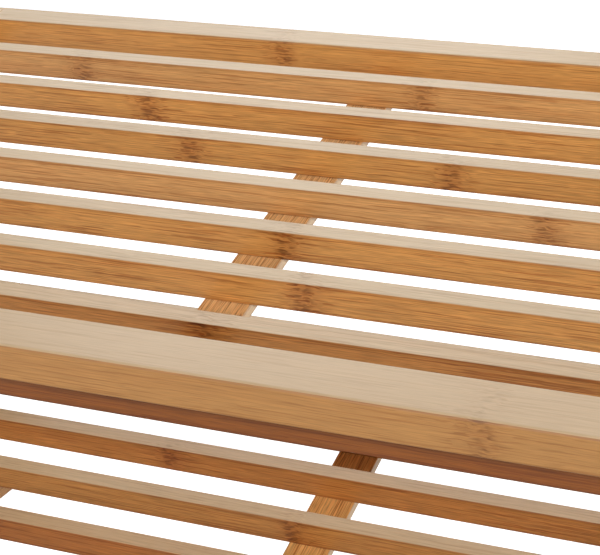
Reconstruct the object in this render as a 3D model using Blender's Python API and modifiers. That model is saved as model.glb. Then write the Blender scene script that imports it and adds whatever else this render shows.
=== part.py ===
"""Two-tier bamboo dish drying rack.

Two identical slatted tiers slope down towards the front, one straight above the other.
Each tier is a frame of a front rail, a rear rail and two side rails. Seven slats on edge
are tenoned into the side rails, a thin centre rail between the front and rear rails
carries them at mid-span, and a stop bar is screwed on top of the front rail. Four posts
on pads, tied by a foot rail on each side, carry both tiers.

Axes: +X to the right, +Y to the back, +Z up. The origin is on the floor, under the
middle of the rack. Units are metres.
"""

from math import cos, radians, sin

import bmesh
import bpy
from mathutils import Matrix, Vector

# --- Driving dimensions ---------------------------------------------------------------
PITCH = 0.032                 # slat to slat, along the slope
SLAT_COUNT = 7
SLAT_WIDTH = 0.008
SLAT_HEIGHT = 0.0127          # slats stand on edge, level with the tops of the rails
RAIL_WIDTH = 0.0142           # front, rear, side and foot rails are one stock
RAIL_HEIGHT = 0.015
STOP_WIDTH = 0.0212           # the stop bar and the posts are one heavier stock
STOP_HEIGHT = 0.0154
STOP_FRONT = -0.2484          # front face of the stop bar, along the slope
CENTRE_WIDTH = 0.019
CENTRE_THICKNESS = 0.0046
CENTRE_OFFSET = 0.0048        # upper centre rail this far left, lower one this far right
CLEAR_SPAN = 0.430            # between the inner faces of the side rails

SLOPE = radians(15.0)
TIER_DROP = 0.149             # from the upper tier straight down to the lower one
UPPER_HEIGHT = 0.269          # the upper tier's datum edge above the floor
TIER_DATUM_Y = 0.1015         # the datum is the rearmost slat's back top edge

TENON_LENGTH = 0.008
TENON_SHOULDER = 0.0015       # from the sides of a slat or rail to its tenon
TENON_HEIGHT = 0.0075

POST_ABOVE = 0.018            # post tops above the tier's screws
FOOT_RAIL_BOTTOM = 0.016
FOOT_HEIGHT = 0.004
FOOT_RADIUS = 0.0068
FOOT_PEG_RADIUS = 0.0022
FOOT_PEG_LENGTH = 0.009

SHANK_RADIUS = 0.0016
HEAD_RADIUS = 0.0040
HEAD_HEIGHT = 0.0022
FRAME_SCREW_BITE = 0.010      # into the side rail, past the post
STOP_SCREW_BITE = 0.009       # into the stop bar, past the front rail
STOP_SCREW_X = (-0.195, -0.070, 0.070, 0.195)

GAP = 0.0003                  # between pieces that touch
ROUNDING = 0.0007
STOP_ROUNDING = 0.0012
TURNED_STEPS = 12

# --- Derived places -------------------------------------------------------------------
TIER_HEIGHTS = {"upper": UPPER_HEIGHT, "lower": UPPER_HEIGHT - TIER_DROP}
CENTRE_X = {"upper": -CENTRE_OFFSET, "lower": CENTRE_OFFSET}
SLAT_GAP = PITCH - SLAT_WIDTH
TIER_REAR = SLAT_GAP + RAIL_WIDTH
LAST_SLAT_FRONT = -(SLAT_COUNT - 1) * PITCH - SLAT_WIDTH
TIER_FRONT = LAST_SLAT_FRONT - SLAT_GAP - RAIL_WIDTH
MID_HEIGHT = -RAIL_HEIGHT / 2
SIDE_RAIL_X = CLEAR_SPAN / 2 + RAIL_WIDTH / 2
SIDE_RAIL_OUTER = CLEAR_SPAN / 2 + RAIL_WIDTH
POST_X = SIDE_RAIL_OUTER + GAP + STOP_HEIGHT / 2
POST_OUTER = POST_X + STOP_HEIGHT / 2
POST_BOTTOM = FOOT_HEIGHT + GAP
POST_SLOPE_PLACES = {         # in the first and the last gap between slats
    "front": LAST_SLAT_FRONT - SLAT_GAP / 2,
    "rear": SLAT_GAP / 2,
}
SIDES = {"left": -1, "right": 1}

BAMBOO = (0.62, 0.37, 0.15, 1.0)
BAMBOO_PALE = (0.70, 0.46, 0.22, 1.0)
STEEL = (0.55, 0.55, 0.56, 1.0)
RUBBER = (0.03, 0.03, 0.03, 1.0)


def clear_scene():
    for item in list(bpy.data.objects):
        bpy.data.objects.remove(item, do_unlink=True)


def new_collection(name):
    collection = bpy.data.collections.new(name)
    bpy.context.scene.collection.children.link(collection)
    return collection


def new_material(name, colour, roughness, metallic=0.0):
    material = bpy.data.materials.new(name)
    material.use_nodes = True
    shader = material.node_tree.nodes["Principled BSDF"]
    shader.inputs["Base Color"].default_value = colour
    shader.inputs["Roughness"].default_value = roughness
    shader.inputs["Metallic"].default_value = metallic
    return material


def place(item, location, parent=None):
    item.location = location
    item.parent = parent
    return item


def box_mesh(name, size):
    """A box of the given size about its own centre."""
    mesh = bpy.data.meshes.new(name)
    bm = bmesh.new()
    bmesh.ops.create_cube(bm, size=1.0)
    bmesh.ops.scale(bm, vec=Vector(size), verts=bm.verts)
    bm.to_mesh(mesh)
    bm.free()
    return mesh


def bar(name, size, location, material, parent=None, rounding=ROUNDING):
    """A straight stick of wood with its edges eased."""
    item = bpy.data.objects.new(name, box_mesh(name, size))
    RACK.objects.link(item)
    item.data.materials.append(material)
    ease = item.modifiers.new("eased_edges", "BEVEL")
    ease.width = rounding
    ease.segments = 1
    ease.limit_method = "ANGLE"
    return place(item, location, parent)


def cutter(name, boxes, rods, location, parent=None):
    """Boxes (centre, size) and rods (centre, direction, radius, length) in one mesh."""
    mesh = bpy.data.meshes.new(name)
    bm = bmesh.new()
    for centre, size in boxes:
        shape = Matrix.Translation(centre) @ Matrix.Diagonal((*size, 1.0))
        bmesh.ops.create_cube(bm, size=1.0, matrix=shape)
    for centre, direction, radius, length in rods:
        turn = Vector((0, 0, 1)).rotation_difference(Vector(direction)).to_matrix().to_4x4()
        bmesh.ops.create_cone(
            bm, cap_ends=True, segments=TURNED_STEPS, radius1=radius, radius2=radius,
            depth=length, matrix=Matrix.Translation(centre) @ turn,
        )
    bm.to_mesh(mesh)
    bm.free()
    item = bpy.data.objects.new(name, mesh)
    CUTTERS.objects.link(item)
    item.hide_render = True
    item.display_type = "WIRE"
    return place(item, location, parent)


def boolean(item, tool, operation):
    step = item.modifiers.new(tool.name, "BOOLEAN")
    step.operation = operation
    step.object = tool
    step.solver = "EXACT"


def turned(name, profile, location, rotation, material, parent=None):
    """A profile of (radius, height) points, top to bottom, turned about its own Z axis."""
    mesh = bpy.data.meshes.new(name)
    points = [(radius, 0.0, height) for radius, height in profile]
    mesh.from_pydata(points, [(i, i + 1) for i in range(len(points) - 1)], [])
    item = bpy.data.objects.new(name, mesh)
    RACK.objects.link(item)
    mesh.materials.append(material)
    spin = item.modifiers.new("turned", "SCREW")
    spin.axis = "Z"
    spin.steps = TURNED_STEPS
    spin.render_steps = TURNED_STEPS
    spin.use_merge_vertices = True
    spin.merge_threshold = 0.0001
    spin.use_smooth_shade = True
    item.rotation_euler = rotation
    return place(item, location, parent)


def screw_profile(shank_length):
    """A domed head above z = 0 and a pointed shank below it."""
    return [
        (0.0, HEAD_HEIGHT),
        (HEAD_RADIUS * 0.55, HEAD_HEIGHT * 0.88),
        (HEAD_RADIUS * 0.92, HEAD_HEIGHT * 0.45),
        (HEAD_RADIUS, 0.0),
        (SHANK_RADIUS, 0.0),
        (SHANK_RADIUS, -shank_length + 2 * SHANK_RADIUS),
        (0.0, -shank_length),
    ]


def on_slope(tier, along, above):
    """The world Y and Z of a point given along and above a tier's slope."""
    y = TIER_DATUM_Y + along * cos(SLOPE) - above * sin(SLOPE)
    z = TIER_HEIGHTS[tier] + along * sin(SLOPE) + above * cos(SLOPE)
    return y, z


def cross_members():
    """Name, width, height and centre along the slope of every stick between the side rails."""
    members = [("rear_rail", RAIL_WIDTH, RAIL_HEIGHT, SLAT_GAP + RAIL_WIDTH / 2)]
    for index in range(SLAT_COUNT):
        centre = -index * PITCH - SLAT_WIDTH / 2
        members.append((f"slat_{index + 1}", SLAT_WIDTH, SLAT_HEIGHT, centre))
    members.append(("front_rail", RAIL_WIDTH, RAIL_HEIGHT, TIER_FRONT + RAIL_WIDTH / 2))
    return members


def make_cross_member(tier, frame, name, width, height, along):
    """A slat or rail with a tenon through its whole length, standing out at both ends."""
    body = (CLEAR_SPAN - 2 * GAP, width, height)
    material = PALE if name.startswith("slat") else WOOD
    item = bar(f"{tier}_{name}", body, (0, along, -height / 2), material, frame)
    length = CLEAR_SPAN + 2 * (TENON_LENGTH - GAP)
    core = (length, width - 2 * TENON_SHOULDER, TENON_HEIGHT)
    centre = (0, along, MID_HEIGHT)
    tenon = cutter(f"{tier}_{name}_tenons", [((0, 0, 0), core)], [], centre, frame)
    boolean(item, tenon, "UNION")
    return item


def make_side_rail(tier, frame, side):
    """A side rail with a mortise for each cross member and a pilot hole at each post."""
    sign = SIDES[side]
    depth = TIER_REAR - TIER_FRONT
    middle = (TIER_REAR + TIER_FRONT) / 2
    item = bar(
        f"{tier}_side_rail_{side}", (RAIL_WIDTH, depth, RAIL_HEIGHT),
        (sign * SIDE_RAIL_X, middle, MID_HEIGHT), WOOD, frame,
    )
    mortise_x = -sign * (RAIL_WIDTH - TENON_LENGTH) / 2
    mortises = [
        ((mortise_x - sign * GAP, along - middle, 0),
         (TENON_LENGTH + 2 * GAP, width - 2 * TENON_SHOULDER + 2 * GAP, TENON_HEIGHT + 2 * GAP))
        for _, width, _, along in cross_members()
    ]
    reach = FRAME_SCREW_BITE + 2 * GAP
    pilots = [
        ((sign * (RAIL_WIDTH / 2 + GAP - reach / 2), along - middle, 0),
         (1, 0, 0), SHANK_RADIUS + GAP, reach + 2 * GAP)
        for along in POST_SLOPE_PLACES.values()
    ]
    tool = cutter(f"{item.name}_joints", mortises, pilots, item.location, frame)
    boolean(item, tool, "DIFFERENCE")


def make_stop_bar(tier, frame, front_rail):
    """The stop bar on top of the front rail, and the screws that hold it from below."""
    along = STOP_FRONT + STOP_WIDTH / 2
    item = bar(
        f"{tier}_stop_bar", (2 * SIDE_RAIL_OUTER, STOP_WIDTH, STOP_HEIGHT),
        (0, along, GAP + STOP_HEIGHT / 2), WOOD, frame, STOP_ROUNDING,
    )
    screw_along = (TIER_FRONT + STOP_FRONT + STOP_WIDTH) / 2
    top = GAP + STOP_SCREW_BITE
    bottom = -RAIL_HEIGHT - GAP
    rods = [
        ((x, 0, (top + bottom) / 2), (0, 0, 1), SHANK_RADIUS + GAP, top - bottom + 2 * GAP)
        for x in STOP_SCREW_X
    ]
    tool = cutter(f"{tier}_stop_bar_holes", [], rods, (0, screw_along, 0), frame)
    boolean(item, tool, "DIFFERENCE")
    boolean(front_rail, tool, "DIFFERENCE")
    for number, x in enumerate(STOP_SCREW_X, 1):
        turned(
            f"{tier}_stop_screw_{number}", screw_profile(top - bottom - GAP),
            (x, screw_along, bottom), (radians(180), 0, 0), METAL, frame,
        )


def make_tier(tier):
    frame = bpy.data.objects.new(f"{tier}_tier", None)
    RACK.objects.link(frame)
    frame.location = (0, TIER_DATUM_Y, TIER_HEIGHTS[tier])
    frame.rotation_euler = (SLOPE, 0, 0)
    members = {
        name: make_cross_member(tier, frame, name, width, height, along)
        for name, width, height, along in cross_members()
    }
    for side in SIDES:
        make_side_rail(tier, frame, side)
    make_stop_bar(tier, frame, members["front_rail"])
    depth = TIER_REAR - TIER_FRONT - 2 * (RAIL_WIDTH + GAP)
    bar(
        f"{tier}_centre_rail", (CENTRE_WIDTH, depth, CENTRE_THICKNESS),
        (CENTRE_X[tier], (TIER_REAR + TIER_FRONT) / 2,
         -SLAT_HEIGHT - GAP - CENTRE_THICKNESS / 2),
        PALE, frame, ROUNDING / 2,
    )


def make_post(end, side):
    """A post with a hole for each of its screws, its screws, and the pad under it."""
    sign = SIDES[side]
    along = POST_SLOPE_PLACES[end]
    y, upper_screw = on_slope("upper", along, MID_HEIGHT)
    _, lower_screw = on_slope("lower", along, MID_HEIGHT)
    foot_screw = FOOT_RAIL_BOTTOM + RAIL_HEIGHT / 2
    top = upper_screw + POST_ABOVE
    middle = (top + POST_BOTTOM) / 2
    item = bar(
        f"post_{end}_{side}", (STOP_HEIGHT, STOP_WIDTH, top - POST_BOTTOM),
        (sign * POST_X, y, middle), WOOD, None, STOP_ROUNDING,
    )
    heights = {"upper": upper_screw, "lower": lower_screw, "foot": foot_screw}
    rods = [
        ((0, 0, z - middle), (1, 0, 0), SHANK_RADIUS + GAP, STOP_HEIGHT * 2)
        for z in heights.values()
    ]
    peg_reach = FOOT_PEG_LENGTH + GAP
    rods.append((
        (0, 0, POST_BOTTOM - middle + peg_reach / 2 - GAP), (0, 0, 1),
        FOOT_PEG_RADIUS + GAP, peg_reach + 2 * GAP,
    ))
    boolean(item, cutter(f"{item.name}_holes", [], rods, item.location), "DIFFERENCE")
    for name, z in heights.items():
        turned(
            f"screw_{name}_{end}_{side}", screw_profile(STOP_HEIGHT + FRAME_SCREW_BITE),
            (sign * (POST_OUTER + GAP), y, z), (0, sign * radians(90), 0), METAL,
        )
    turned(
        f"foot_pad_{end}_{side}",
        [
            (0.0, FOOT_HEIGHT + FOOT_PEG_LENGTH),
            (FOOT_PEG_RADIUS, FOOT_HEIGHT + FOOT_PEG_LENGTH),
            (FOOT_PEG_RADIUS, FOOT_HEIGHT),
            (FOOT_RADIUS, FOOT_HEIGHT),
            (FOOT_RADIUS, 0.001),
            (FOOT_RADIUS - 0.001, 0.0),
            (0.0, 0.0),
        ],
        (sign * POST_X, y, 0), (0, 0, 0), PAD,
    )
    return y


def make_foot_rail(side, front_y, rear_y):
    """The rail that ties a side's two posts near the floor."""
    sign = SIDES[side]
    item = bar(
        f"foot_rail_{side}", (RAIL_WIDTH, rear_y - front_y + STOP_WIDTH, RAIL_HEIGHT),
        (sign * SIDE_RAIL_X, (rear_y + front_y) / 2, FOOT_RAIL_BOTTOM + RAIL_HEIGHT / 2), WOOD,
    )
    reach = FRAME_SCREW_BITE + 2 * GAP
    half = (rear_y - front_y) / 2
    rods = [
        ((sign * (RAIL_WIDTH / 2 + GAP - reach / 2), y, 0),
         (1, 0, 0), SHANK_RADIUS + GAP, reach + 2 * GAP)
        for y in (-half, half)
    ]
    boolean(item, cutter(f"{item.name}_pilots", [], rods, item.location), "DIFFERENCE")


clear_scene()
RACK = new_collection("dish_drying_rack")
CUTTERS = new_collection("cutters")
WOOD = new_material("bamboo_frame", BAMBOO, 0.42)
PALE = new_material("bamboo_slats", BAMBOO_PALE, 0.42)
METAL = new_material("screw_steel", STEEL, 0.35, 1.0)
PAD = new_material("foot_rubber", RUBBER, 0.8)

for tier_name in TIER_HEIGHTS:
    make_tier(tier_name)
for side_name in SIDES:
    post_places = [make_post(end_name, side_name) for end_name in ("front", "rear")]
    make_foot_rail(side_name, *post_places)
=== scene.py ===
"""Looks of the two-tier bamboo dish drying rack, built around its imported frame."""

from math import atan2, cos, pi, radians, sin

import bmesh
import bpy
import numpy as np
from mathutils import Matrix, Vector


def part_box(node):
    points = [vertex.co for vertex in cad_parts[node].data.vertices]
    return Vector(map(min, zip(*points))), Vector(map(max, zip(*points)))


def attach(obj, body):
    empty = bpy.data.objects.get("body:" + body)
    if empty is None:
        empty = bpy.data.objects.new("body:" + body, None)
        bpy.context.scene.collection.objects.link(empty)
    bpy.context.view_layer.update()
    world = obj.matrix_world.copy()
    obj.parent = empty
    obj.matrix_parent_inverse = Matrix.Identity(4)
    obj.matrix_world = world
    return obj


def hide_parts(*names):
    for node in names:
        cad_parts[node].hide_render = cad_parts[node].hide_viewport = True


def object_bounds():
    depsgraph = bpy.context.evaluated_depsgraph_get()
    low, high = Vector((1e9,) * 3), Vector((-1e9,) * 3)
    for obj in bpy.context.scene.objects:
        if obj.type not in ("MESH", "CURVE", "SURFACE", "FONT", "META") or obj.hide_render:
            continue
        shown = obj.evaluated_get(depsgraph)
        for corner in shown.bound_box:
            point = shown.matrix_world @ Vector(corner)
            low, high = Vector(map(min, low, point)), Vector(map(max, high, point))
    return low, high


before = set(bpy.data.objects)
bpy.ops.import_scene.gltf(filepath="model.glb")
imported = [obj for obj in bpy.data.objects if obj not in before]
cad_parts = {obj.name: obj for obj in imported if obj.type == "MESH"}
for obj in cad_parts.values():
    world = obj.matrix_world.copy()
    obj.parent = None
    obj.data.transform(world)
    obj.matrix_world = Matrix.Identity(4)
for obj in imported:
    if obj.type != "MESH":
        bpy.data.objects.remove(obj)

CAD_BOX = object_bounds()

# --- Sizes, in metres -----------------------------------------------------------------
GAP = 0.0003                     # air between pieces that touch
EASED = 0.0004                   # rounding along the edges of slats and rails
EASED_STOP = 0.0014              # rounding along the edges of stop bars and posts
EASED_REAR = 0.0009              # rounding along the edges of rear rails
EASED_SIDE = 0.0010              # rounding along the edges of side rails
EASED_THIN = 0.0004              # rounding along the edges of a centre rail
EASED_TENON = 0.0003
TENON_RINGS = 3                  # from a tenon's tip to its shoulder
STATION = 0.010                  # spacing of the rings along a stick
BOW = 0.00015                    # how far a stick wanders from straight, at most

HEX_REACH = 0.00125              # middle of a screw's socket to its flats
SOCKET_DEPTH = 0.0013
PIN_RADIUS = 0.0013
PIN_HEIGHT = 0.0005
PIN_LENGTH = 0.012

# Joint marks of the bamboo, along each stick from its middle: where one is, and how far
# it is to the next one.
KNUCKLES = {
    "upper_rear_rail": (-0.056, 0.290),
    "upper_slat_1": (-0.147, 0.170),
    "upper_slat_2": (-0.097, 0.265),
    "upper_slat_3": (-0.062, 0.117),
    "upper_slat_4": (0.102, 0.270),
    "upper_slat_5": (0.007, 0.250),
    "upper_slat_6": (0.026, 0.230),
    "upper_slat_7": (0.000, 0.260),
    "upper_stop_bar": (0.119, 0.300),
    "upper_front_rail": (-0.170, 0.340),
    "lower_slat_3": (-0.076, 0.270),
    "lower_slat_4": (-0.003, 0.245),
}

# --- Directions -----------------------------------------------------------------------


def points_of(node):
    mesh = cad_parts[node].data
    flat = np.empty(len(mesh.vertices) * 3, np.float32)
    mesh.vertices.foreach_get("co", flat)
    return flat.reshape(-1, 3).astype(float)


def middle_of(node):
    low, high = (np.array(corner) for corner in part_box(node))
    return (low + high) / 2


RISE = middle_of("upper_rear_rail") - middle_of("upper_front_rail")
SLOPE = atan2(RISE[2], RISE[1])
RIGHT = np.array((1.0, 0.0, 0.0))
BACK = np.array((0.0, 1.0, 0.0))
UP = np.array((0.0, 0.0, 1.0))
UPHILL = np.array((0.0, cos(SLOPE), sin(SLOPE)))
OFF_SLOPE = np.array((0.0, -sin(SLOPE), cos(SLOPE)))

RACK_MIDDLE = (np.array(CAD_BOX[0]) + np.array(CAD_BOX[1])) / 2

# Each stick's own axes: along it, across it, and out of its top or outer face.
ALONG_TIER = np.array((RIGHT, UPHILL, OFF_SLOPE))
UP_TIER = np.array((UPHILL, -RIGHT, OFF_SLOPE))
UPRIGHT = np.array((UP, RIGHT, BACK))
DEEP = np.array((BACK, -RIGHT, UP))


def extent(node, axes, keep=None):
    """Lowest and highest reach of a node along three axes, or of those points that keep picks."""
    places = points_of(node) @ axes.T
    if keep is not None:
        places = places[keep(places)]
    return places.min(0), places.max(0)


# --- Surfaces -------------------------------------------------------------------------
CORNER_POINTS = 5


def section(half_width, half_height, rounding, flat_steps):
    """A rounded rectangle, once round, for every station at a time.

    Each corner is a quarter circle of the rounding about a centre set in from the corner
    by that rounding. Each flat between two corners is cut at the shares that flat_steps
    gives. half_width, half_height and rounding hold one value for each station. Returns
    across and up, each stations by points.
    """
    across, up = [], []
    for corner, (sx, sy) in enumerate(((1, 1), (-1, 1), (-1, -1), (1, -1))):
        angle = corner * pi / 2 + np.linspace(0, pi / 2, CORNER_POINTS)
        centre_x = sx * (half_width - rounding)[:, None]
        centre_y = sy * (half_height - rounding)[:, None]
        across.append(centre_x + rounding[:, None] * np.cos(angle))
        up.append(centre_y + rounding[:, None] * np.sin(angle))
    rows_x, rows_y = [], []
    for corner in range(4):
        ahead = (corner + 1) % 4
        rows_x.append(across[corner])
        rows_y.append(up[corner])
        for share in flat_steps[corner]:
            rows_x.append(across[corner][:, -1:] * (1 - share) + across[ahead][:, :1] * share)
            rows_y.append(up[corner][:, -1:] * (1 - share) + up[ahead][:, :1] * share)
    return np.hstack(rows_x), np.hstack(rows_y)


def wander(along, half_length, seed, inward):
    """A stick's departure from straight: two slow waves that vanish at its ends.

    inward gives, for each wave, the sign that leads towards the middle of the rack, so that
    the outer sticks stay inside its outer sizes. Zero leaves that wave out.
    """
    reach = BOW * np.clip(1 - (along / half_length) ** 2, 0, 1)
    slow = 0.5 + 0.5 * np.sin(along * 9.0 + seed * 40.0)
    slower = 0.5 + 0.5 * np.sin(along * 5.0 + seed * 70.0)
    return inward[0] * reach * slow, inward[1] * reach * slower


def grid_mesh(name, rings):
    """A closed skin over rings of points, stations by points by 3, with a flat end on each."""
    stations, around, _ = rings.shape
    index = np.arange(stations * around).reshape(stations, around)
    ahead = np.roll(index, -1, axis=1)
    quads = np.stack((index[:-1], ahead[:-1], ahead[1:], index[1:]), axis=-1).reshape(-1, 4)
    faces = quads.tolist()
    faces.append(index[0][::-1].tolist())
    faces.append(index[-1].tolist())
    mesh = bpy.data.meshes.new(name)
    mesh.from_pydata(rings.reshape(-1, 3).tolist(), [], faces)
    return mesh


def close_seams(mesh):
    """Merges rings that meet and turns every face outwards."""
    shape = bmesh.new()
    shape.from_mesh(mesh)
    bmesh.ops.remove_doubles(shape, verts=shape.verts, dist=0.000005)
    bmesh.ops.recalc_face_normals(shape, faces=shape.faces)
    shape.to_mesh(mesh)
    shape.free()


def put_attribute(mesh, name, kind, values):
    layer = mesh.attributes.new(name, kind, "POINT")
    field = "vector" if kind == "FLOAT_VECTOR" else "value"
    layer.data.foreach_set(field, np.ascontiguousarray(values, dtype=np.float32).ravel())


def finish_piece(name, mesh, material, nodes, crease=40):
    """Puts a mesh in the scene as a piece that stands for its CAD nodes."""
    close_seams(mesh)
    mesh.shade_smooth()
    mesh.set_sharp_from_angle(angle=radians(crease))
    mesh.materials.append(material)
    piece = bpy.data.objects.new(name, mesh)
    bpy.context.scene.collection.objects.link(piece)
    even = piece.modifiers.new("even_shading", "WEIGHTED_NORMAL")
    even.keep_sharp = True
    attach(piece, "root")
    if nodes:
        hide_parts(*nodes)
    return piece


def golden(number):
    """An even spread of values between 0 and 1."""
    return (number * 0.61803399 + 0.137) % 1.0


class Stick:
    """A straight piece of bamboo that stands for one CAD node."""

    count = 0

    def __init__(self, node, axes, eased=EASED):
        Stick.count += 1
        self.node = node
        self.axes = axes
        self.eased = eased
        self.seed = golden(Stick.count)
        self.low, self.high = extent(node, axes)
        self.middle = (self.low + self.high) / 2
        self.half = (self.high - self.low) / 2
        self.flat_steps = [(), (), (), ()]

    def stations(self):
        """Rings: their places along the stick, half width, half height and rounding."""
        length = self.half[0]
        ease = self.eased * (1 - np.cos(np.linspace(0, pi / 2, 4)))
        set_in = self.eased * (1 - np.sin(np.linspace(0, pi / 2, 4)))
        count = max(4, round(2 * length / STATION))
        body = np.linspace(-length + self.eased, length - self.eased, count)[1:-1]
        along = np.hstack((-length + ease, body, (length - ease)[::-1]))
        inset = np.hstack((set_in, np.zeros(len(body)), set_in[::-1]))
        rounding = np.maximum(self.eased - inset, 0.00005)
        return along, self.half[1] - inset, self.half[2] - inset, rounding

    def rings(self):
        """The section carried along the stick, with its slow wander."""
        along, half_width, half_height, rounding = self.stations()
        across, up = section(half_width, half_height, rounding, self.flat_steps)
        across = self.hollow(along, across, up)
        sideways, upwards = self.offsets(along)
        along = np.broadcast_to(along[:, None], across.shape)
        return np.stack((along, across + sideways[:, None], up + upwards[:, None]), axis=-1)

    def offsets(self, along):
        """The slow wander. The sticks that run across a tier only wander level with its slope."""
        inward = -np.sign(self.middle - RACK_MIDDLE @ self.axes.T)[1:]
        if self.axes is ALONG_TIER:
            inward[1] = 0.0
        return wander(along, self.half[0], self.seed, inward)

    def hollow(self, along, across, up):
        return across

    def knuckles(self):
        """Where the first joint mark is, the spacing of the marks, and the lean of their halo."""
        first, spacing = KNUCKLES.get(
            self.node, ((self.seed - 0.5) * 0.25, 0.20 + 0.10 * golden(Stick.count * 3)),
        )
        return first, spacing, 2 * golden(Stick.count * 5) - 1

    def build(self, material, slot, tone_and_shade=1.0, fairness_and_shade=0.0):
        rings = self.rings()
        own = rings.reshape(-1, 3)
        world = (own + self.middle) @ self.axes
        mesh = grid_mesh(f"bamboo_{self.node}", world.reshape(rings.shape))
        put_attribute(mesh, "place", "FLOAT_VECTOR", own)
        put_attribute(mesh, "half_size", "FLOAT_VECTOR", np.tile(self.half, (len(own), 1)))
        traits = (tone_and_shade, fairness_and_shade, self.seed)
        put_attribute(mesh, "traits", "FLOAT_VECTOR", np.tile(traits, (len(own), 1)))
        put_attribute(mesh, "knuckles", "FLOAT_VECTOR", np.tile(self.knuckles(), (len(own), 1)))
        return finish_piece(mesh.name, mesh, material, [self.node])


class TenonedStick(Stick):
    """A slat or rail whose ends step down to tenons, inside the side rails."""

    def __init__(self, node, axes, shoulder, eased):
        super().__init__(node, axes, eased)
        self.shoulder = shoulder
        low, high = extent(node, axes, lambda places: places[:, 0] > shoulder + GAP)
        self.tenon_half = (high - low)[1:] / 2
        self.tenon_rise = ((high + low) / 2 - self.middle)[2]

    def stations(self):
        body = np.linspace(-self.shoulder, self.shoulder, round(2 * self.shoulder / STATION))
        ends = np.array((self.shoulder, self.half[0] - EASED_TENON, self.half[0]))
        along = np.hstack((-ends[::-1], body, ends))
        thin = np.array((0.0, 0.0, EASED_TENON))
        half_width = np.hstack((
            (self.tenon_half[0] - thin)[::-1], np.full(len(body), self.half[1]),
            self.tenon_half[0] - thin,
        ))
        half_height = np.hstack((
            (self.tenon_half[1] - thin)[::-1], np.full(len(body), self.half[2]),
            self.tenon_half[1] - thin,
        ))
        rounding = np.where(np.abs(along) > self.shoulder, EASED_TENON, self.eased)
        rounding[[2, -3]] = EASED_TENON
        return along, half_width, half_height, rounding

    def offsets(self, along):
        """The slow wander, and the step up or down to the tenons at both ends."""
        sideways, upwards = super().offsets(along)
        upwards[:TENON_RINGS] += self.tenon_rise
        upwards[-TENON_RINGS:] += self.tenon_rise
        return sideways, upwards


class SideRail(Stick):
    """A side rail with a pocket in its inner face for each tenon.

    The rings and the points on them come in pairs at the pockets' edges, and of each
    pair the one inside is pushed in by the pocket's depth, so the walls stand square.
    """

    def __init__(self, node, axes, inner, tenons):
        super().__init__(node, axes, EASED_SIDE)
        self.inner = inner
        self.spans = sorted(
            (low[1] - GAP - self.middle[0], high[1] + GAP - self.middle[0]) for low, high in tenons
        )
        low, high = tenons[0]
        self.reach = (high - low)[2] / 2 + GAP
        self.depth = (high - low)[0] / 2 + GAP - abs(self.middle[1]) + self.half[1]
        room = self.half[2] - self.eased
        shares = [(height + room) / (2 * room) for height in (-self.reach, self.reach)]
        self.flat_steps[3 if inner > 0 else 1] = np.repeat(shares, 2)

    def stations(self):
        along, half_width, half_height, rounding = super().stations()
        edges = np.repeat(np.ravel(self.spans), 2)
        clear = [all(not low < place < high for low, high in self.spans) for place in along]
        rows = np.stack((along, half_width, half_height, rounding), axis=1)[clear]
        added = np.stack([
            edges, *(np.full(len(edges), value) for value in (*self.half[1:], self.eased)),
        ], axis=1)
        rows = np.vstack((rows, added))
        return rows[np.argsort(rows[:, 0], kind="stable")].T

    def hollow(self, along, across, up):
        inside = np.zeros(len(along), bool)
        for low, high in self.spans:
            edge = np.flatnonzero((along == low) | (along == high))
            inside[edge[1:-1]] = True
        first = CORNER_POINTS * (4 if self.inner > 0 else 2)
        pushed = np.zeros(across.shape[1], bool)
        pushed[first + 1:first + 3] = True
        return across - self.inner * self.depth * (inside[:, None] & pushed[None])


def lathe(name, profile, corners, origin, axis, material, nodes, around=28, crease=35):
    """A turned piece: radius against height, carried once round the axis.

    profile holds (radius, height) from the middle of the top down to the middle of the
    foot. corners holds, for each of them, how far its ring is a hexagon instead of a
    circle: a hexagon's radius is its flat's distance over the cosine of the angle from
    the middle of that flat.
    """
    radius, height = np.array(profile, float).T
    angle = np.arange(around) * 2 * pi / around
    from_flat = (angle + pi / 6) % (pi / 3) - pi / 6
    hexagon = 1 / np.cos(from_flat)
    corners = np.array(corners, float)[:, None]
    reach = radius[:, None] * (1 - corners + corners * hexagon)
    own = np.stack((reach * np.cos(angle), reach * np.sin(angle),
                    np.broadcast_to(height[:, None], reach.shape)), axis=-1)
    turn = Vector((0, 0, 1)).rotation_difference(Vector(axis)).to_matrix()
    world = own.reshape(-1, 3) @ np.array(turn).T + np.array(origin)
    mesh = grid_mesh(name, world.reshape(own.shape)[::-1])
    return finish_piece(name, mesh, material, nodes, crease)


# --- Materials ------------------------------------------------------------------------
def srgb(red, green, blue):
    """A colour given in 0 to 255 display values, as the linear colour of a socket."""
    share = np.array((red, green, blue)) / 255
    linear = np.where(share <= 0.04045, share / 12.92, ((share + 0.055) / 1.055) ** 2.4)
    return (*linear.tolist(), 1.0)


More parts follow.
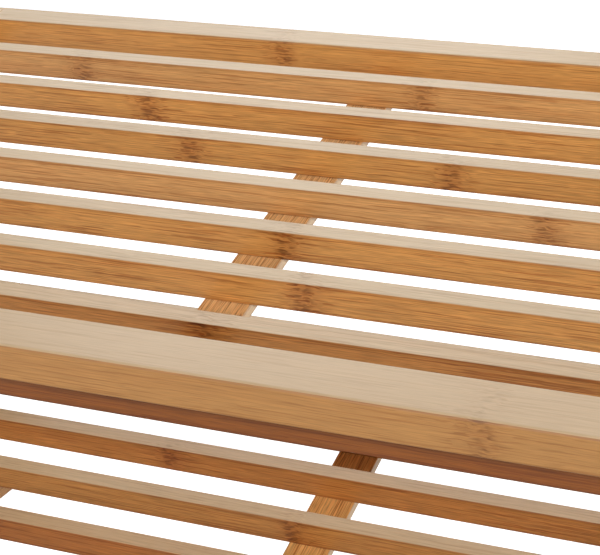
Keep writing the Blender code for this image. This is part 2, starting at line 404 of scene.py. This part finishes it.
class Wiring:
    """Adds nodes to a tree and links them. A value may be a number or a socket."""

    def __init__(self, tree):
        self.tree = tree

    def node(self, kind, inputs=(), **settings):
        made = self.tree.nodes.new(kind)
        for name, value in settings.items():
            setattr(made, name, value)
        for key, value in dict(inputs).items():
            self.feed(made.inputs[key], value)
        return made

    def feed(self, socket, value):
        if isinstance(value, bpy.types.NodeSocket):
            self.tree.links.new(value, socket)
        else:
            socket.default_value = value

    def math(self, operation, *values):
        made = self.node("ShaderNodeMath", enumerate(values), operation=operation)
        return made.outputs[0]

    def plus(self, first, second):
        return self.math("ADD", first, second)

    def minus(self, first, second):
        return self.math("SUBTRACT", first, second)

    def times(self, first, second):
        return self.math("MULTIPLY", first, second)

    def vector(self, operation, *values):
        made = self.node("ShaderNodeVectorMath", enumerate(values), operation=operation)
        return made.outputs[0]

    def parts(self, vector):
        return self.node("ShaderNodeSeparateXYZ", {0: vector}).outputs

    def join(self, x, y, z):
        return self.node("ShaderNodeCombineXYZ", {0: x, 1: y, 2: z}).outputs[0]

    def noise(self, place, detail=2.0, roughness=0.5):
        made = self.node(
            "ShaderNodeTexNoise",
            {"Vector": place, "Scale": 1.0, "Detail": detail, "Roughness": roughness},
        )
        return made.outputs["Fac"]

    def span(self, value, low, high, start=0.0, end=1.0):
        """Start below low, end above high, and an even curve between them."""
        made = self.node(
            "ShaderNodeMapRange", {0: value, 1: low, 2: high, 3: start, 4: end},
            interpolation_type="SMOOTHSTEP",
        )
        return made.outputs[0]

    def mix(self, share, first, second, blend="MIX"):
        made = self.node("ShaderNodeMix", data_type="RGBA", blend_type=blend)
        self.feed(made.inputs[0], share)
        self.feed(made.inputs[6], first)
        self.feed(made.inputs[7], second)
        return made.outputs[2]

    def grey(self, value):
        return self.join(value, value, value)


def new_group(name, inputs, outputs):
    """An empty shader group with named sockets, its wiring, and its two ends."""
    group = bpy.data.node_groups.new(name, "ShaderNodeTree")
    for label, kind in inputs:
        group.interface.new_socket(label, in_out="INPUT", socket_type=f"NodeSocket{kind}")
    for label, kind in outputs:
        group.interface.new_socket(label, in_out="OUTPUT", socket_type=f"NodeSocket{kind}")
    wiring = Wiring(group)
    return group, wiring, wiring.node("NodeGroupInput").outputs, wiring.node("NodeGroupOutput")


# Layers of the wood: swings to the metre along and across the fibres, detail, roughness.
STRANDS = (22.0, 1650.0, 1.5, 0.55)
HAIRS = (80.0, 3000.0, 1.0)
STRIPS = (4.0, 230.0, 2.0)
CLOUDS = (14.0, 60.0, 1.0)
FLECKS = (230.0, 1100.0, 0.5)

# Half widths of a joint mark: where it starts to fade and where it has gone.
CORE_FADES = (0.0016, 0.0058)
HALO_FADES = (0.001, 0.014)
HALO_LEAN = 0.004                # how far the halo may sit to one side
RAGGED = 0.007                   # how far a mark shifts from fibre to fibre


def make_bamboo_group():
    """Bamboo in a stick's own axes: fibres, strips, joint marks, pale and caramel faces.

    Fibres are noise stretched many times along the stick. A joint mark is a band
    round the nearest knuckle, with short dark dashes in it and bent fibres beside it.
    The face a point lies on is told by which side of the stick it is nearest to; the pale
    faces are partly the bamboo's own colour and partly painted sheen. Painted shade is laid
    on too: a warm dark band along the edges of the side faces, and a deepening of the sticks
    that stand in shade. What is darker is also warmer, so every mark and every painted shade
    multiplies the colour by a share of one tint.
    """
    group, w, given, out = new_group(
        "bamboo",
        [
            ("Place", "Vector"), ("Half Size", "Vector"), ("Traits", "Vector"),
            ("Knuckles", "Vector"), ("Caramel", "Color"), ("Pale", "Color"),
            ("Warm Tint", "Color"), ("Dark Tint", "Color"),
            ("Top Paleness", "Float"), ("Side Paleness", "Float"), ("Fibre Contrast", "Float"),
        ],
        [("Color", "Color"), ("Roughness", "Float"), ("Height", "Float")],
    )
    along, across, up = w.parts(given["Place"])
    half_length, half_width, half_height = w.parts(given["Half Size"])
    tone_and_shade, fairness_and_shade, seed = w.parts(given["Traits"])
    first_mark, mark_spacing, lean = w.parts(given["Knuckles"])
    shift = w.times(seed, 57.0)

    # joint marks: signed distance to the nearest, ragged from fibre to fibre
    half_spacing = w.times(mark_spacing, 0.5)
    off_mark = w.math("WRAP", w.minus(along, first_mark), half_spacing, w.times(half_spacing, -1))
    ragged = w.noise(w.join(w.times(across, 420.0), w.times(up, 420.0), shift), 2.0)
    off_mark = w.plus(off_mark, w.times(w.minus(ragged, 0.5), RAGGED))
    core = w.span(w.math("ABSOLUTE", off_mark), *CORE_FADES, 1.0, 0.0)
    off_halo = w.math("ABSOLUTE", w.minus(off_mark, w.times(lean, HALO_LEAN)))
    halo = w.span(off_halo, *HALO_FADES, 1.0, 0.0)

    # fibres, bent beside the marks
    drift = w.noise(w.join(w.times(along, 9.0), shift, 0.0), 1.0)
    swirl_place = w.join(w.times(along, 130.0), w.times(across, 210.0), w.times(up, 210.0))
    swirl = w.times(w.minus(w.noise(swirl_place, 1.0), 0.5), w.plus(w.times(halo, 0.0022), 0.0004))
    bend = w.plus(swirl, w.times(drift, 0.0016))
    side_bent = w.plus(across, bend)
    up_bent = w.plus(up, bend)

    def fibres(lengthwise, crosswise, detail, roughness=0.5):
        """Noise with so many swings to the metre along and across the fibres."""
        place = w.join(
            w.math("MULTIPLY_ADD", along, lengthwise, shift),
            w.times(side_bent, crosswise), w.times(up_bent, crosswise),
        )
        return w.noise(place, detail, roughness)

    strands = fibres(*STRANDS)
    hairs = fibres(*HAIRS)
    strips = fibres(*STRIPS)
    clouds = fibres(*CLOUDS)
    flecks = fibres(*FLECKS)
    lines = w.span(strands, 0.53, 0.64)
    dashes = w.times(w.span(flecks, 0.52, 0.60), core)

    # faces
    below_side = w.minus(half_width, w.math("ABSOLUTE", across))
    below_top = w.minus(half_height, w.math("ABSOLUTE", up))
    below_end = w.minus(half_length, w.math("ABSOLUTE", along))
    top = w.span(w.minus(below_side, below_top), -0.0001, 0.00025)
    end = w.span(below_end, 0.00005, 0.0003, 1.0, 0.0)
    # Painted shade: a warm dark band on the side faces, along their top and bottom edges, where the
    # rounded edge turns away from the lights.
    rim = w.times(w.span(below_top, 0.0002, 0.0016, 1.0, 0.0), w.minus(1.0, top))
    # Pale faces: partly the bamboo's own colour and partly painted sheen.
    top_or_side = w.mix(top, w.grey(given["Side Paleness"]), w.grey(given["Top Paleness"]))
    paleness = w.plus(w.parts(top_or_side)[0], w.math("MAXIMUM", fairness_and_shade, 0.0))
    quiet = w.math("MULTIPLY_ADD", paleness, -0.6, 1.0)
    contrast = w.times(given["Fibre Contrast"], quiet)
    marked = w.times(contrast, quiet)

    # colour
    base = w.mix(paleness, given["Caramel"], given["Pale"])
    swell = w.plus(w.times(w.minus(strips, 0.5), 0.6), w.times(w.minus(clouds, 0.5), 0.5))
    grain = w.times(w.minus(hairs, 0.5), 1.1)
    light = w.math("MULTIPLY_ADD", w.plus(grain, w.times(swell, 0.5)), contrast, 1.0)
    fleck_light = w.times(w.times(w.minus(0.5, flecks), core), w.times(quiet, 0.45))
    light = w.times(w.plus(light, fleck_light), tone_and_shade)
    base = w.mix(1.0, base, w.grey(light), "MULTIPLY")
    line_share = w.times(w.times(lines, w.math("MULTIPLY_ADD", halo, 0.20, 0.60)), contrast)
    band_share = w.times(w.times(w.span(strips, 0.45, 0.75), 0.24), contrast)
    stain_share = w.times(w.math("MULTIPLY_ADD", core, 0.16, w.times(halo, 0.30)), marked)
    dash_share = w.times(dashes, w.times(marked, 0.60))
    # A negative second trait deepens the colour of the whole stick: painted shade, for the sticks
    # that stand in the shade of others.
    depth = w.times(w.math("MAXIMUM", w.times(fairness_and_shade, -1.0), 0.0), quiet)
    # Of these shares, the rim and depth ones are painted shade; the rest are marks of the wood and of
    # its cut ends.
    tints = (
        (depth, "Warm Tint"), (line_share, "Warm Tint"), (band_share, "Warm Tint"),
        (stain_share, "Warm Tint"), (w.times(rim, 0.40), "Warm Tint"),
        (dash_share, "Dark Tint"), (w.times(end, 0.5), "Dark Tint"),
    )
    for share, tint in tints:
        base = w.mix(share, base, w.mix(1.0, base, given[tint], "MULTIPLY"))

    rough = w.math("MULTIPLY_ADD", w.minus(strands, 0.5), 0.22, 0.42)
    rough = w.plus(rough, w.times(end, 0.2))
    height = w.math("MULTIPLY_ADD", hairs, 0.3, w.times(strands, 0.7))
    height = w.math("MULTIPLY_ADD", dashes, -0.5, height)
    w.feed(out.inputs["Color"], base)
    w.feed(out.inputs["Roughness"], rough)
    w.feed(out.inputs["Height"], height)
    return group


def new_material(name):
    material = bpy.data.materials.new(name)
    material.use_nodes = True
    return material, Wiring(material.node_tree), material.node_tree.nodes["Principled BSDF"]


def bamboo_material(name, caramel, pale, top_paleness, side_paleness, fibre_contrast):
    """Bamboo under thin satin lacquer, caramel on its sides and pale on top or the reverse."""
    material, w, shader = new_material(name)

    def attribute(label):
        return w.node("ShaderNodeAttribute", attribute_name=label).outputs["Vector"]

    wood = w.node("ShaderNodeGroup", node_tree=BAMBOO)
    values = {
        "Place": attribute("place"), "Half Size": attribute("half_size"),
        "Traits": attribute("traits"), "Knuckles": attribute("knuckles"),
        "Caramel": srgb(*caramel), "Pale": srgb(*pale),
        "Warm Tint": WARM_TINT, "Dark Tint": DARK_TINT,
        "Top Paleness": top_paleness, "Side Paleness": side_paleness,
        "Fibre Contrast": fibre_contrast,
    }
    for label, value in values.items():
        w.feed(wood.inputs[label], value)
    w.feed(shader.inputs["Base Color"], wood.outputs["Color"])
    w.feed(shader.inputs["Roughness"], wood.outputs["Roughness"])
    bump = w.node(
        "ShaderNodeBump",
        {"Height": wood.outputs["Height"], "Strength": 0.25, "Distance": 0.0002},
    )
    w.feed(shader.inputs["Normal"], bump.outputs["Normal"])
    shader.inputs["Coat Weight"].default_value = 0.25
    shader.inputs["Coat Roughness"].default_value = 0.22
    return material


def mottled_material(name, colour, metallic, roughness, spread, frequency, bump_depth):
    """A plain finish whose roughness and height wander with fine noise."""
    material, w, shader = new_material(name)
    place = w.node("ShaderNodeTexCoord").outputs["Object"]
    fine = w.noise(w.vector("MULTIPLY", place, (frequency,) * 3), 3.0, 0.6)
    w.feed(shader.inputs["Base Color"], w.mix(fine, srgb(*colour[0]), srgb(*colour[1])))
    w.feed(shader.inputs["Roughness"], w.span(fine, 0.2, 0.8, roughness - spread, roughness + spread))
    bump = w.node("ShaderNodeBump", {"Height": fine, "Strength": 0.4, "Distance": bump_depth})
    w.feed(shader.inputs["Normal"], bump.outputs["Normal"])
    shader.inputs["Metallic"].default_value = metallic
    return material


WARM_TINT = (0.50, 0.27, 0.10, 1.0)      # what lines, bands, stains and the painted shade multiply the colour by
DARK_TINT = (0.44, 0.34, 0.26, 1.0)      # the same for the dashes in a joint mark
# The pale colour is partly the bamboo's own and partly painted sheen on the faces that catch the
# lights.
CARAMEL, PALE = (208, 151, 82), (211, 182, 142)
BAMBOO = make_bamboo_group()
SLAT_WOOD = bamboo_material("slat_bamboo", CARAMEL, PALE, 1.0, 0.0, 1.0)
RAIL_WOOD = bamboo_material("rail_bamboo", CARAMEL, PALE, 1.0, 0.0, 0.8)
STOP_WOOD = bamboo_material("stop_bamboo", (187, 135, 77), (215, 184, 145), 1.0, 0.0, 0.55)
# The centre rails are darker on top and paler on their sides: partly the bamboo's own faces, partly
# painted shade on the top between the slats and painted sheen on the sides.
STRIP_WOOD = bamboo_material("strip_bamboo", (220, 166, 96), (232, 208, 170), 0.0, 1.0, 1.3)
STEEL_COLOURS = ((176, 176, 180), (150, 150, 154))
RUBBER_COLOURS = ((34, 34, 35), (52, 52, 53))
STEEL = mottled_material("screw_steel", STEEL_COLOURS, 1.0, 0.3, 0.08, 2600.0, 0.00002)
RUBBER = mottled_material("foot_rubber", RUBBER_COLOURS, 0.0, 0.78, 0.1, 1800.0, 0.00008)

# --- The rack -------------------------------------------------------------------------
SLATS = sorted(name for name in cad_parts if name.startswith("upper_slat_"))
MEMBERS = ["rear_rail", *(name.removeprefix("upper_") for name in SLATS), "front_rail"]

# Brightness and paleness of single sticks, where they differ from the rest. Below zero, the
# second value deepens the colour instead. For the upper tier's last slat and front rail and
# for the lower tier, these stand in for shade that the studio does not give.
TONES_AND_SHADE = {
    "upper_slat_1": (0.99, 0.19),
    "upper_slat_4": (1.0, 0.20),
    "upper_slat_6": (0.99, 0.0),
    "upper_slat_7": (1.12, -0.30),
    "upper_front_rail": (0.76, -0.92),
    "upper_centre_rail": (1.28, 0.28),
    "lower_centre_rail": (1.2, 0.06),
    "lower_slat_2": (1.16, -0.57),
    "lower_slat_3": (1.16, -0.57),
    "lower_slat_4": (0.94, -0.35),
    "lower_slat_5": (1.06, -0.75),
}


def tone_and_shade_of(node):
    if node in TONES_AND_SHADE:
        return TONES_AND_SHADE[node]
    share = golden(len(node) * 7 + sum(map(ord, node)))
    return 0.94 + 0.12 * share, 0.0


def build_tier(tier):
    side_low, _ = extent(f"{tier}_side_rail_right", ALONG_TIER)
    shoulder = side_low[0] - GAP
    tenons = []
    for member in MEMBERS:
        node = f"{tier}_{member}"
        wood = SLAT_WOOD if "slat" in member else RAIL_WOOD
        slot = "slat_bamboo" if "slat" in member else "frame_bamboo"
        eased = EASED_REAR if member == "rear_rail" else EASED
        TenonedStick(node, ALONG_TIER, shoulder, eased).build(wood, slot, *tone_and_shade_of(node))
        tenons.append(extent(node, ALONG_TIER, lambda at: at[:, 0] > shoulder + GAP))
    for side, inner in (("left", -1), ("right", 1)):
        node = f"{tier}_side_rail_{side}"
        rail = SideRail(node, UP_TIER, inner, tenons)
        rail.build(RAIL_WOOD, "frame_bamboo", *tone_and_shade_of(node))
    node = f"{tier}_stop_bar"
    Stick(node, ALONG_TIER, EASED_STOP).build(STOP_WOOD, "frame_bamboo", *tone_and_shade_of(node))
    node = f"{tier}_centre_rail"
    Stick(node, UP_TIER, EASED_THIN).build(STRIP_WOOD, "slat_bamboo", *tone_and_shade_of(node))


for tier_name in ("upper", "lower"):
    build_tier(tier_name)
for node_name in sorted(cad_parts):
    if node_name.startswith("post_"):
        Stick(node_name, UPRIGHT, EASED_STOP).build(RAIL_WOOD, "frame_bamboo", *tone_and_shade_of(node_name))
    if node_name.startswith("foot_rail_"):
        Stick(node_name, DEEP).build(RAIL_WOOD, "frame_bamboo", *tone_and_shade_of(node_name))

# --- Screws, pins and pads ------------------------------------------------------------


def build_screw(node, axis):
    """A domed screw with a hexagonal socket: lathe rings, of which the socket's are hexagons."""
    axis = np.array(axis, float)
    places = points_of(node)
    heights = places @ axis
    middle = places.mean(0) - axis * (places.mean(0) @ axis)
    top, tip = heights.max(), heights.min()
    off_axis = np.linalg.norm(places - middle - np.outer(heights, axis), axis=1)
    reach = off_axis.max()
    seat = heights[off_axis > reach * 0.99].min()
    dome = top - seat
    shank = reach * 0.4
    rim = HEX_REACH * 1.02
    profile = [
        (0.0, dome - SOCKET_DEPTH - 0.0002), (HEX_REACH * 0.96, dome - SOCKET_DEPTH),
        (HEX_REACH, dome - 0.0001), (rim, dome), (reach * 0.52, dome * 0.96),
        (reach * 0.74, dome * 0.80), (reach * 0.90, dome * 0.55), (reach * 0.98, dome * 0.30),
        (reach, dome * 0.14), (reach * 0.985, 0.0), (shank, 0.0),
        (shank, tip - seat + 2 * shank), (0.0001, tip - seat),
    ]
    corners = [1, 1, 1, 1, 0, 0, 0, 0, 0, 0, 0, 0, 0]
    spot = middle + axis * seat
    lathe(f"steel_{node}", profile, corners, spot, axis, STEEL, [node], 36)


def build_pad(node):
    """A rubber pad with a rounded foot edge, and its peg."""
    low, high = (np.array(corner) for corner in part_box(node))
    middle = (low + high) / 2
    radius = (high - low)[0] / 2
    places = points_of(node)
    rim = places[np.hypot(places[:, 0] - middle[0], places[:, 1] - middle[1]) > radius * 0.95]
    top = rim[:, 2].max()
    bend = np.linspace(0, pi / 2, 5)
    edge = 0.0009
    profile = [(0.0, high[2]), (0.0017, high[2]), (0.0022, high[2] - 0.0006), (0.0022, top)]
    profile += [(radius - edge + edge * sin(t), top - edge + edge * cos(t)) for t in bend]
    profile += [(radius - edge + edge * cos(t), edge - edge * sin(t)) for t in bend]
    profile.append((0.0, 0.0))
    foot = (middle[0], middle[1], 0.0)
    round_all = [0] * len(profile)
    lathe(f"rubber_{node}", profile, round_all, foot, UP, RUBBER, [node], 40)


def build_pins(tier):
    """Wire pins with low domed heads, up through the centre rail into each stick."""
    strip_low, strip_high = extent(f"{tier}_centre_rail", ALONG_TIER)
    x = (strip_low[0] + strip_high[0]) / 2
    for number, member in enumerate(MEMBERS, 1):
        low, high = extent(f"{tier}_{member}", ALONG_TIER)
        if not strip_low[1] < low[1] < strip_high[1]:
            continue
        spot = np.array((x, (low[1] + high[1]) / 2, strip_low[2])) @ ALONG_TIER
        shank = PIN_RADIUS * 0.4
        profile = [
            (0.0, PIN_HEIGHT), (PIN_RADIUS * 0.6, PIN_HEIGHT * 0.85),
            (PIN_RADIUS * 0.92, PIN_HEIGHT * 0.4), (PIN_RADIUS, 0.0), (shank, 0.0),
            (shank, -PIN_LENGTH + 2 * shank), (0.0001, -PIN_LENGTH),
        ]
        name = f"centre_pin_{tier}_{number}"
        lathe(name, profile, [0] * 7, spot, -OFF_SLOPE, STEEL, [], 16)


for node_name in sorted(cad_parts):
    if node_name.startswith("screw_"):
        build_screw(node_name, RIGHT if node_name.endswith("right") else -RIGHT)
    if "stop_screw" in node_name:
        build_screw(node_name, -OFF_SLOPE)
    if node_name.startswith("foot_pad"):
        build_pad(node_name)
for tier_name in ("upper", "lower"):
    build_pins(tier_name)

# --- Floor, light and camera ----------------------------------------------------------


def build_floor():
    """A disc under the rack: radius grows with the first parameter, angle with the second."""
    radius = np.array((0.001, 0.5, 1.5, 6.0))[:, None]
    angle = np.arange(64) * 2 * pi / 64
    flat = np.stack((radius * np.cos(angle), radius * np.sin(angle),
                     np.zeros((4, 64))), axis=-1)
    index = np.arange(4 * 64).reshape(4, 64)
    ahead = np.roll(index, -1, axis=1)
    quads = np.stack((index[:-1], index[1:], ahead[1:], ahead[:-1]), axis=-1).reshape(-1, 4)
    mesh = bpy.data.meshes.new("floor")
    mesh.from_pydata(flat.reshape(-1, 3).tolist(), [], [*quads.tolist(), index[0].tolist()])
    material, w, shader = new_material("white_floor")
    shader.inputs["Base Color"].default_value = (0.85, 0.85, 0.85, 1.0)
    shader.inputs["Roughness"].default_value = 0.9
    shader.inputs["Specular IOR Level"].default_value = 0.0
    shader.inputs["Emission Color"].default_value = (1.0, 1.0, 1.0, 1.0)
    seen = w.node("ShaderNodeLightPath").outputs["Is Camera Ray"]
    w.feed(shader.inputs["Emission Strength"], w.times(seen, FLOOR_SEEN))
    mesh.materials.append(material)
    floor = bpy.data.objects.new("floor", mesh)
    bpy.context.scene.collection.objects.link(floor)


def soft_box(name, place, width, height, power):
    light = bpy.data.lights.new(name, "AREA")
    light.shape = "RECTANGLE"
    light.size = width
    light.size_y = height
    light.energy = power
    lamp = bpy.data.objects.new(name, light)
    lamp.location = place
    lamp.rotation_euler = (Vector(LIGHT_TARGET) - Vector(place)).to_track_quat("-Z", "Y").to_euler()
    bpy.context.scene.collection.objects.link(lamp)


def build_sky():
    world = bpy.data.worlds.new("white_studio")
    world.use_nodes = True
    w = Wiring(world.node_tree)
    background = world.node_tree.nodes["Background"]
    seen = w.node("ShaderNodeLightPath").outputs["Is Camera Ray"]
    background.inputs["Color"].default_value = (1.0, 1.0, 1.0, 1.0)
    w.feed(background.inputs["Strength"], w.span(seen, 0.0, 1.0, SKY_GLOW, SKY_SEEN))
    bpy.context.scene.world = world


def build_camera():
    """The camera is placed from the rearmost upper slat's back top edge, over the centre rail."""
    _, slat_high = extent("upper_slat_1", ALONG_TIER)
    edge = np.array((0.0, slat_high[1], slat_high[2])) @ ALONG_TIER
    start = np.array((middle_of("upper_centre_rail")[0], edge[1], edge[2]))
    data = bpy.data.cameras.new("camera")
    data.sensor_width = 36.0
    data.lens = LENS
    data.clip_start = 0.02
    camera = bpy.data.objects.new("camera", data)
    camera.location = start + np.array(CAMERA_FROM_EDGE)
    camera.rotation_euler = (radians(90 - CAMERA_DOWN), 0.0, radians(CAMERA_LEFT))
    bpy.context.scene.collection.objects.link(camera)
    bpy.context.scene.camera = camera


# Each light's name, place, width, height and power.
STUDIO_LIGHTS = (
    ("front_key", (2.4, -3.1, 1.94), 1.0, 0.30, 90),
    ("front_fill", (0.2, -3.6, 2.26), 1.0, 0.30, 23),
    ("low_front", (0.0, -3.8, 0.70), 4.4, 1.2, 45),
    ("back_left", (-0.66, 1.2, 1.50), 1.0, 0.8, 8.3),
    ("back_right", (0.45, 1.2, 1.55), 0.8, 0.8, 14.7),
)
LIGHT_TARGET = (0.0, 0.0, 0.2)
FLOOR_SEEN = 0.8                 # what the floor and sky add where the camera sees them
SKY_SEEN = 1.1
SKY_GLOW = 0.03                  # what the sky lights the rack with
LENS = 100.7
CAMERA_FROM_EDGE = (0.2462, -0.7016, 0.1609)
CAMERA_LEFT = 21.74
CAMERA_DOWN = 19.17

build_floor()
build_sky()
for light_row in STUDIO_LIGHTS:
    soft_box(*light_row)
build_camera()
bpy.context.scene.view_settings.view_transform = "Standard"
